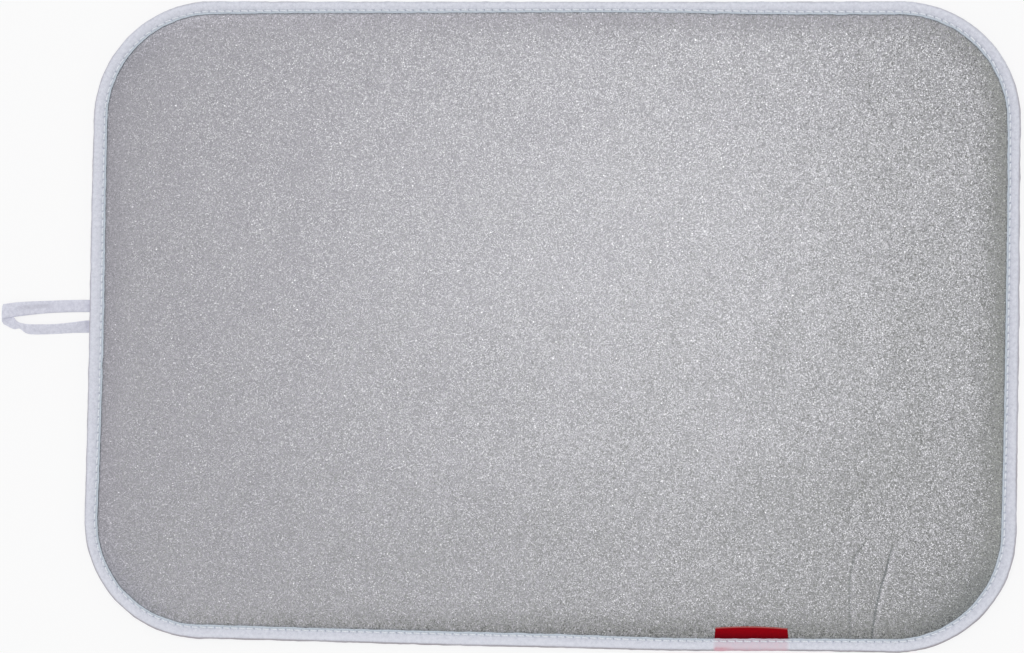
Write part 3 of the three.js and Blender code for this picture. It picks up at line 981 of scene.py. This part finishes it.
def creaseLattice():
    step = cover["creaseStep"]
    xs, ys = np.meshgrid(np.arange(*cover["creaseX"], step), np.arange(*cover["creaseY"], step))
    x = xs.ravel() + cover["creaseOffset"][0] * step
    y = ys.ravel() + cover["creaseOffset"][1] * step
    near = np.zeros(len(x), bool)
    for crease in cover["creases"]:
        near |= np.abs(creaseReach(x, y, crease["line"])[0]) < cover["creaseBand"]
    near &= seamPlaces(x, y)[0] > cover["creaseInset"]
    return np.stack([x[near], y[near]], axis=1)


coverPlan = layOut(cover["rows"], cover["latticeStep"], creaseLattice())
coverX, coverY = coverPlan[0].T
coverHeights = coverTop(coverX, coverY)
# its dip mark is painted shade
coverPiece = addLayer("silver_cover", coverPlan, coverHeights - pad["cover"], coverHeights, coverMaterial,
                      {"dip": coverShade(coverX, coverY)})

# Filling: felt over foam, which share the room between the cloths
filling = {
    "rows": (pad["cutEdge"], 6.0, 8.5, 11.0, 14.0, 18.0, 23.0, 28.0),
    "latticeStep": 8.0,
    "creaseRoom": 0.45,  # left free under the cover's relief
    "creaseRamp": 6.0,
}
fillingPlan = layOut([(inset, 1) for inset in filling["rows"]], filling["latticeStep"])
fillX, fillY = fillingPlan[0].T
fillInset, _ = seamPlaces(fillX, fillY)
fillingTop = smoothTop(fillX, fillY, fillInset) - pad["cover"] - pad["layerGap"]
fillingTop -= filling["creaseRoom"] * share(fillInset, seamInset, filling["creaseRamp"])
fillingBottom = undersideLevel(fillX, fillY, fillInset) + pad["backing"] + pad["layerGap"]
fillingDepth = fillingTop - fillingBottom - pad["layerGap"]
foamTop = fillingBottom + fillingDepth * pad["foam"] / (pad["foam"] + pad["felt"])
feltPiece = addLayer("felt_filling", fillingPlan, foamTop + pad["layerGap"], fillingTop, feltMaterial)
foamPiece = addLayer("foam_filling", fillingPlan, fillingBottom, foamTop, foamMaterial)

# Backing: flat on the table, puckered beside the binding
backing = {
    "rows": (pad["cutEdge"], 5.0, 7.0, 8.5, 10.0, 11.5, 13.5, 16.0, 19.0, 22.0, 25.0),
    "latticeStep": 6.0,
    "pucker": (0.16, 15.0, 8),  # height, size and seed
    "puckerFade": 6.0,
    "raise": 0.16,
    "seamRamp": 3.0,
    "flat": (14.0, 10.0),  # inset from which it lies flat, and the run to there
}
backingPlan = layOut([(inset, 2) for inset in backing["rows"]], backing["latticeStep"])
backX, backY = backingPlan[0].T
backInset, backAlong = seamPlaces(backX, backY)
backBeyond = np.maximum(backInset - pad["bindingWidth"], 0)
backRelief = seamWaves(backAlong, *backing["pucker"]) * np.exp(-backBeyond / backing["puckerFade"])
backRelief = (backRelief + backing["raise"]) * share(backInset, seamInset, backing["seamRamp"])
backRelief = backRelief * (1 - share(backInset, *backing["flat"]))
backHeights = undersideLevel(backX, backY, backInset) + backRelief
backingPiece = addLayer("cotton_backing", backingPlan, backHeights, backHeights + pad["backing"],
                        backingMaterial)
print("layers made")

# Hang loop: narrow tape, folded back flat under itself at its far end. A place is the distance out from
# the pad's edge, across from the loop's middle, the height, the roll in degrees and the share of the width.
loop = {
    "tape": backEndHigh.y - backEndLow.y,
    "thickness": 0.8,
    "clearance": 0.3,
    "reach": -padLength / 2 - loopLow.x,
    "rootInset": pad["bindingWidth"],
    "upperDrift": 4.0,
    "upperEnd": 0.86,  # share of the reach where the upper leg goes over into the fold
    "upperPlaces": 9,
    "climb": (0.45, 0.35),  # shares of the reach over which it climbs over the lower leg
    "flare": 0.17,  # spread flat toward the far fold
    "flareRun": (0.4, 0.5),
    "lowerStart": 4.8,
    "lowerLeg": [(0.88, 2.0, 4), (0.8, 0.3, 58), (0.69, -2.2, 38), (0.42, -2.05, 40), (0.2, -1.0, 34),
                 (0.08, -0.3, 18), (0.0, 0.0, 0)],  # share of the reach, drift and roll
    "across": 11,
    "perPlace": 7,
    "edgePower": 10,  # how squarely the tape's edges end
    "selvedge": 0.06,
    "crinkle": 0.10,
    "crinkleTurns": (0.55, 0.13),  # radians in a millimetre along the tape
    "crinkleSlants": (2.2, 1.0),
    "crease": 0.5,  # how dark the painted shade in the upper leg's lengthwise crease is
    "creaseAcross": 0.15,
    "creaseWidth": 0.2,
    "creaseGroove": 0.2,
    "creaseEnds": [(20.0, 0.0), (29.0, 1.0), (42.0, 1.0), (50.0, 0.0)],  # from the pad's edge
    "tailInset": 3.5,
    "tailSteps": 7,
}
loopSpacing = 2 * loopHalf - loop["tape"]
tapeHalf = loop["thickness"] / 2
loopCaught = stackBottom + tapeHalf
loopRoot = -loop["rootInset"] - loop["clearance"]


def alongCurve(values, perPlace):
    # Smooth run through given places, each a row of numbers
    values = np.array(values, float)
    padded = np.concatenate([values[:1], values, values[-1:]])
    run = []
    for at in range(1, len(padded) - 2):
        before, start, end, after = padded[at - 1:at + 3]
        for part in np.arange(perPlace) / perPlace:
            run.append(between(before, start, end, after, part))
    run.append(padded[-2])
    return np.array(run)


def addTape(name, places, creased=0.0):
    # A flat tape with soft edges along its places
    places = np.asarray(places)
    roll = np.radians(places[:, 3])
    centre = np.column_stack([-padLength / 2 - places[:, 0], loopMiddle + places[:, 1], places[:, 2]])
    aside = np.column_stack([np.zeros(len(roll)), np.cos(roll), np.sin(roll)])
    heading = np.gradient(centre, axis=0)
    heading = unit(heading - aside * np.sum(heading * aside, axis=1)[:, None])
    above = np.cross(aside, heading)
    spread = np.sin(np.linspace(-1, 1, loop["across"]) * math.pi / 2)
    body = tapeHalf * np.sqrt(np.clip(1 - np.abs(spread) ** loop["edgePower"], 0, 1))
    ring = list(zip(spread, body))
    ring = ring + [(part, -half) for part, half in reversed(ring[1:-1])]
    run = np.concatenate([[0], np.cumsum(np.linalg.norm(np.diff(centre, axis=0), axis=1))])
    points = []
    creases = []
    for part, half in ring:
        crease = creased * math.exp(-((part - loop["creaseAcross"]) / loop["creaseWidth"]) ** 2)
        height = loop["crinkle"] * (1 - part ** 2)
        for turns, slant in zip(loop["crinkleTurns"], loop["crinkleSlants"]):
            height = height * np.sin(run * turns + slant * part)
        height = height + half + loop["selvedge"] * abs(part) ** 3 - loop["creaseGroove"] * crease
        reach = part * loop["tape"] / 2 * places[:, 4]
        points.append(centre + aside * reach[:, None] + above * height[:, None])
        creases.append(crease * np.ones(len(places)))
    sides = len(ring)
    last = (len(places) - 1) * sides
    faces = gridFaces(len(places), sides, closedColumns=True, flipped=True)
    faces += [range(sides), range(last + sides - 1, last - 1, -1)]
    return addPiece(name, stray(np.stack(points, axis=1).reshape(-1, 3)), faces, loopMaterial,
                    {"crease": np.stack(creases, axis=1).ravel()})


def halfTurn(out, across, lower, upper, bulge, widths=(1, 1), steps=10):
    # Half a turn of the tape in an upright plane, from its upper run to its lower one
    part = np.linspace(0, 1, steps + 1)
    radius = (upper - lower) / 2
    return np.column_stack([out + bulge * radius * np.sin(part * math.pi),
                            across[0] + (across[1] - across[0]) * part,
                            lower + radius * (1 + np.cos(part * math.pi)), np.zeros(steps + 1),
                            widths[0] + (widths[1] - widths[0]) * part])


def upperAcross(part):
    return loopSpacing / 2 - loop["upperDrift"] * part ** 2


def loopRoute():
    crossing = loop["thickness"] + loop["clearance"]
    farTurn = loop["reach"] - crossing / 2 - tapeHalf
    upperLeg = []
    for part in np.linspace(0, loop["upperEnd"], loop["upperPlaces"]):
        height = tapeHalf + crossing * ease(share(part, *loop["climb"]))
        width = 1 + loop["flare"] * ease(share(part, *loop["flareRun"]))
        upperLeg.append((part * loop["reach"], upperAcross(part), height, 0, width))
    lowerLeg = []
    for part, drift, degrees in loop["lowerLeg"]:
        roll = math.radians(degrees)
        height = loop["tape"] / 2 * math.sin(roll) + tapeHalf * math.cos(roll)
        lowerLeg.append((part * loop["reach"], drift - loopSpacing / 2, height, degrees, 1))
    far = halfTurn(farTurn, (upperAcross(1), loop["lowerStart"] - loopSpacing / 2), tapeHalf,
                   tapeHalf + crossing, 1, (1 + loop["flare"], 1))
    backRoot, frontRoot = (halfTurn(loopRoot, (across, across), tapeHalf, loopCaught, -1)
                           for across in (loopSpacing / 2, -loopSpacing / 2))
    frontRoot = frontRoot[::-1]
    upperRun = alongCurve([tuple(backRoot[-1])] + upperLeg + [tuple(far[0])], loop["perPlace"])
    lowerRun = alongCurve([tuple(far[-1])] + lowerLeg + [tuple(frontRoot[0])], loop["perPlace"])
    return np.concatenate([backRoot[:-1], upperRun[:-1], far[:-1], lowerRun[:-1], frontRoot])


def loopTail(name, across):
    outs = np.linspace(-loop["tailInset"], loopRoot + 0.02, loop["tailSteps"])
    return addTape(name, [(out, across, loopCaught, 0, 1) for out in outs])


loopPlaces = loopRoute()
onUpperLeg = np.arange(len(loopPlaces)) < np.argmax(loopPlaces[:, 0])
# painted shade along the upper leg's crease
loopCreaseShade = loop["crease"] * onUpperLeg * np.interp(loopPlaces[:, 0], *zip(*loop["creaseEnds"]))
loopPiece = addTape("hang_loop_tape", loopPlaces, loopCreaseShade)
backTail = loopTail("loop_tail_back", (backEndLow.y + backEndHigh.y) / 2 - loopMiddle)
frontTail = loopTail("loop_tail_front", (frontEndLow.y + frontEndHigh.y) / 2 - loopMiddle)
print("hang loop made")

# Label: a strip folded double, its two cut ends under the binding and its fold lying on the cover
label = {
    "ply": 0.27,
    "between": 0.06,
    "tuck": 5.0,
    "reach": 6.8,
    "freeStart": 1.0,  # from the binding's edge
    "step": (-1.0, 2.0),  # from the binding's edge, where it starts down to the cover, and for how far
    "bow": 1.2,
    "bowPlace": -0.15,  # where across its half width the fold reaches furthest
    "taper": 0.7,
    "clearance": 0.28,
    "columns": 46,
    "rows": 22,
    "foldSteps": 9,
    "curl": 0.25,
    "wave": 0.10,
    "waveTurns": 5.0,  # radians in its half width
    "wavePhase": 0.8,
}


def makeLabel():
    across = np.linspace(-1, 1, label["columns"] + 1)
    tuckInset = pad["bindingWidth"] - label["tuck"]
    bowed = (across - label["bowPlace"]) / (1 + abs(label["bowPlace"]))
    reach = pad["bindingWidth"] + label["reach"] - label["bow"] * bowed ** 2
    foldRadius = (label["ply"] + label["between"]) / 2
    rolling = label["wave"] * np.sin(across * label["waveTurns"] + label["wavePhase"])
    parts = np.linspace(0, 1, label["rows"] + 1)
    middle = []
    for part in parts:
        inset = tuckInset + (reach - foldRadius - label["ply"] / 2 - tuckInset) * part
        free = share(inset, pad["bindingWidth"] + label["freeStart"], label["reach"])
        x = labelMiddle + across * (labelHalf - label["taper"] * free)
        y = -padWidth / 2 + inset
        ground = smoothTop(x, y, inset) + label["clearance"] - upperLeafBottom
        stepped = share(inset, pad["bindingWidth"] + label["step"][0], label["step"][1])
        level = upperLeafBottom + ground * stepped + label["curl"] * free ** 2 + rolling * free
        middle.append(np.column_stack([x, y, level + foldRadius + label["ply"] / 2]))
    middle = np.array(middle)
    heading = np.gradient(middle, axis=0)
    heading[:, :, 0] = 0
    heading = unit(heading)
    above = np.stack([np.zeros(heading.shape[:2]), -heading[:, :, 2], heading[:, :, 1]], axis=2)
    turns = np.linspace(-math.pi / 2, math.pi / 2, label["foldSteps"])[1:-1]
    skins = []
    for offset in (foldRadius + label["ply"] / 2, foldRadius - label["ply"] / 2):
        fold = [middle[-1] + offset * (math.cos(turn) * heading[-1] + math.sin(turn) * above[-1])
                for turn in turns]
        lowerPly = middle - above * offset
        upperPly = (middle + above * offset)[::-1]
        skins.append(np.concatenate([lowerPly, fold, upperPly]))
    outer, inner = skins
    rows = np.concatenate([outer, inner[::-1]])
    columns = len(across)
    faces = gridFaces(len(rows), columns, closedRows=True, flipped=True)
    last = len(rows) - 1
    for row in range(len(outer) - 1):
        for column, order in ((0, 1), (columns - 1, -1)):
            cap = [at * columns + column for at in (row, last - row, last - row - 1, row + 1)]
            faces.append(cap[::order])
    skinParts = np.concatenate([parts, np.ones(len(turns)), parts[::-1]])
    toFold = np.repeat(np.concatenate([skinParts, skinParts[::-1]]), columns)
    return addPiece("red_label", stray(rows.reshape(-1, 3)), faces, labelMaterial, {"to_fold": toFold})


labelPiece = makeLabel()
print("label made")

# Which body each piece moves with, and what it stands for
for piece, node, slot in (
    (coverPiece, "cover_cloth", "metallised_cotton"),
    (feltPiece, "felt_pad", "needle_felt"),
    (foamPiece, "foam_pad", "foam"),
    (backingPiece, "backing_cloth", "backing_cotton"),
    (bindingPiece, "edge_binding", "binding_tape"),
    (needlePiece, "needle_thread", "sewing_thread"),
    (bobbinPiece, "bobbin_thread", "sewing_thread"),
    (backTail, "hang_loop_back_end", "loop_tape"),
    (frontTail, "hang_loop_front_end", "loop_tape"),
):
    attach(piece, "pad")
    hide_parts(node)

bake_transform(loopPiece)
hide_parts("hang_loop")

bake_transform(labelPiece)
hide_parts("label_root", "label_flap")


# Floor and light: a white table under a wide soft lamp behind the pad's middle, in a pale room.
# Ranges of the room's light are parts of a unit direction from the pad: X right, Y back and Z up.
studio = {
    "floorSize": 6000.0,
    "floorDrop": 0.3,
    "floor": "#f5f5f6",
    "floorRoughness": 0.9,
    "floorSpecular": 0.1,
    "floorGlow": 0.8,
    "ceiling": 0.494,
    "wall": 0.96,
    "ceilingToWall": (0.94, 0.35),
    "uneven": [  # what the ceiling gains: axis, from and to along it, gain at the one and at the other
        ("X", -0.38, 0.25, 0.63, -0.59),  # brighter on the left
        ("Y", -0.3, 0.3, 0.58, -0.42),  # and in front
        ("Y", 0.2, 0.42, 0.0, 1.15),  # bright strip behind the pad
        ("X", 0.16, 0.32, 0.0, 0.92),  # and to its right
        ("Y", -0.25, -0.44, 0.0, -0.95),  # dark strip in front
        ("X", -0.36, -0.58, 0.0, -0.64),  # and to its left
    ],
    "overhead": (0.66, 0.82),
    "darkest": 0.05,
    "wallTint": "#fcfcfe",
    "leftTint": "#fcf9ff",  # the ceiling is cool to the left
    "rightTint": "#fbfef5",  # and warm to the right, the more so in front
    "tintRange": (-0.14, 0.0),
    "tintSlant": -0.5,
    "lampPlace": (8.0, 230.0, 1900.0),
    "lampAim": (30.0, 20.0, 0.0),
    "lampSize": (870.0, 680.0),
    "lampPower": 2.84,  # watts
}


def makeFloor(settings):
    half = settings["floorSize"] / 2
    drop = -settings["floorDrop"]
    material, tree, shader, _ = startMaterial(
        "white_table", {"Base Color": settings["floor"], "Roughness": settings["floorRoughness"],
                        "Specular IOR Level": settings["floorSpecular"]})
    ray = addNode(tree, "LightPath")
    seen = ray.outputs["Is Camera Ray"]
    for other in ("Is Glossy Ray", "Is Transmission Ray"):
        seen = addNode(tree, "Math", {0: seen, 1: ray.outputs[other]}, operation="MAXIMUM")
    glow = addNode(tree, "Math", {0: seen, 1: settings["floorGlow"]}, operation="MULTIPLY")
    white = addNode(tree, "Emission", {"Color": (1, 1, 1, 1), "Strength": 1.0})
    mixed = addNode(tree, "MixShader", {0: glow, 1: shader, 2: white})
    setSockets(tree, tree.nodes["Material Output"], {"Surface": mixed})
    corners = [(-half, -half, drop), (half, -half, drop), (half, half, drop), (-half, half, drop)]
    addPiece("table_top", corners, [(0, 1, 2, 3)], material)


def makeLamp(settings):
    lamp = bpy.data.lights.new("soft_lamp", "AREA")
    lamp.shape = "RECTANGLE"
    lamp.size, lamp.size_y = (size * mm for size in settings["lampSize"])
    lamp.energy = settings["lampPower"]
    holder = bpy.data.objects.new("soft_lamp", lamp)
    place, aim = (Vector(settings[key]) * mm for key in ("lampPlace", "lampAim"))
    holder.location = place
    holder.rotation_euler = (aim - place).to_track_quat("-Z", "Y").to_euler()
    bpy.context.scene.collection.objects.link(holder)


def makeRoom(settings):
    world = bpy.data.worlds.new("pale_room")
    world.use_nodes = True
    bpy.context.scene.world = world
    tree = world.node_tree
    direction = addNode(tree, "TexCoord").outputs["Generated"]
    towards = addNode(tree, "SeparateXYZ", {"Vector": direction}).outputs
    start, end = settings["ceilingToWall"]
    height = addNode(tree, "MapRange",
                     {"Value": towards["Z"], "From Min": start, "From Max": end,
                      "To Min": settings["ceiling"], "To Max": settings["wall"]})
    uneven = 0.0
    for axis, start, end, gainStart, gainEnd in settings["uneven"]:
        gain = addNode(tree, "MapRange",
                       {"Value": towards[axis], "From Min": start, "From Max": end,
                        "To Min": gainStart, "To Max": gainEnd})
        uneven = addNode(tree, "Math", {0: uneven, 1: gain}, operation="ADD")
    start, end = settings["overhead"]
    overhead = addNode(tree, "MapRange", {"Value": towards["Z"], "From Min": start, "From Max": end},
                       interpolation_type="SMOOTHSTEP")
    strength = addNode(tree, "Math", {0: uneven, 1: overhead, 2: height}, operation="MULTIPLY_ADD")
    shown = addNode(tree, "Math", {0: strength, 1: settings["darkest"]}, operation="MAXIMUM")
    across = addNode(tree, "Math", {0: towards["Y"], 1: settings["tintSlant"], 2: towards["X"]},
                     operation="MULTIPLY_ADD")
    start, end = settings["tintRange"]
    aside = addNode(tree, "MapRange", {"Value": across, "From Min": start, "From Max": end})
    tint = addNode(tree, "Mix", {"Factor": aside, "A": settings["leftTint"], "B": settings["rightTint"]},
                   data_type="RGBA")
    colour = addNode(tree, "Mix", {"Factor": overhead, "A": settings["wallTint"], "B": tint},
                     data_type="RGBA")
    setSockets(tree, tree.nodes["Background"], {"Color": colour, "Strength": shown})


makeFloor(studio)
makeLamp(studio)
makeRoom(studio)
bpy.context.scene.view_settings.view_transform = "Standard"
print("studio lit")
